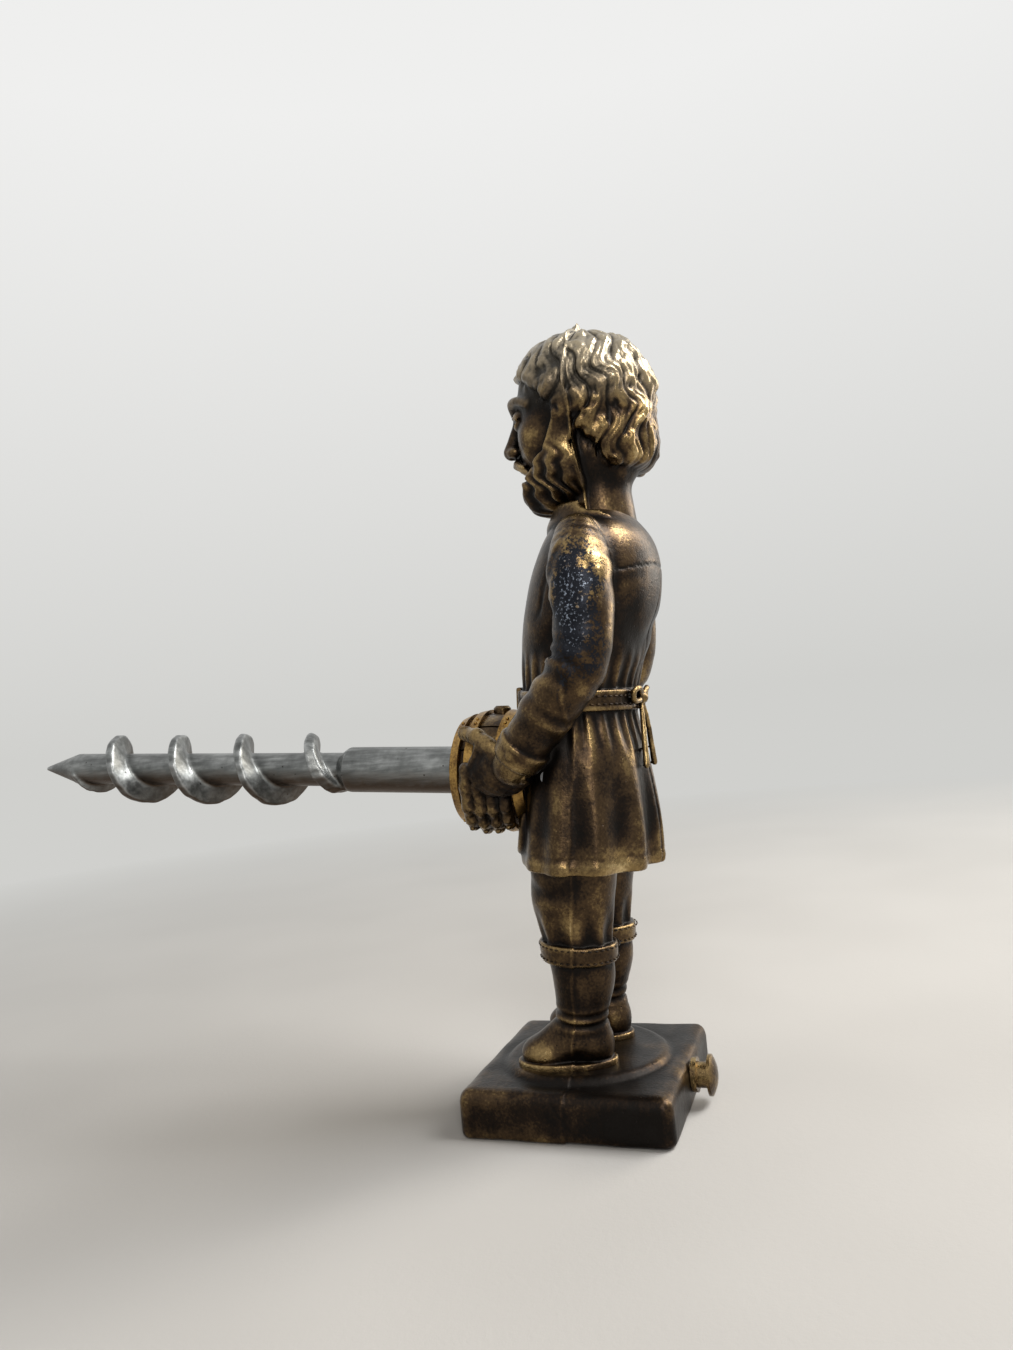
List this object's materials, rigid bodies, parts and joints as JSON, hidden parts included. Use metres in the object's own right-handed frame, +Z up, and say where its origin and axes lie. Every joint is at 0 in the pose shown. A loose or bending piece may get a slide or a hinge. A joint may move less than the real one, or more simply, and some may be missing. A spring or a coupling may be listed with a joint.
{
  "type": "figural corkscrew",
  "caption": "Direct-pull corkscrew: a cast cellarman on a square plinth is the handle, and a webbed steel worm stands out of the keg that the figure holds.",
  "frame": {"origin": "middle of the plinth's flat underside", "axes": "+Z up through the figure, -Y the way the worm points and the figure faces, +X to the figure's left"},
  "size_m": [0.0302, 0.0997, 0.0944],
  "materials": {
    "antique_bronze_plate": "cast zinc or brass, brown-black antique patina, rubbed to brass on the high spots",
    "rubbed_brass_plate": "antique patina, rubbed brighter than the casting",
    "dull_zinc_plated_steel": "turned and ground steel under dull zinc plate, with dark pits",
    "steel_pin": "plain drawn steel"
  },
  "bodies": {
    "root": {"figure_casting": "antique_bronze_plate", "keg_body": "antique_bronze_plate", "rear_chime_hoop": "rubbed_brass_plate", "rear_bilge_hoop": "rubbed_brass_plate", "front_bilge_hoop": "rubbed_brass_plate", "front_chime_hoop": "rubbed_brass_plate", "keg_bung": "antique_bronze_plate", "worm": "dull_zinc_plated_steel", "cross_pin": "steel_pin", "cap_lifter_stud": "antique_bronze_plate"}
  },
  "joints": []
}
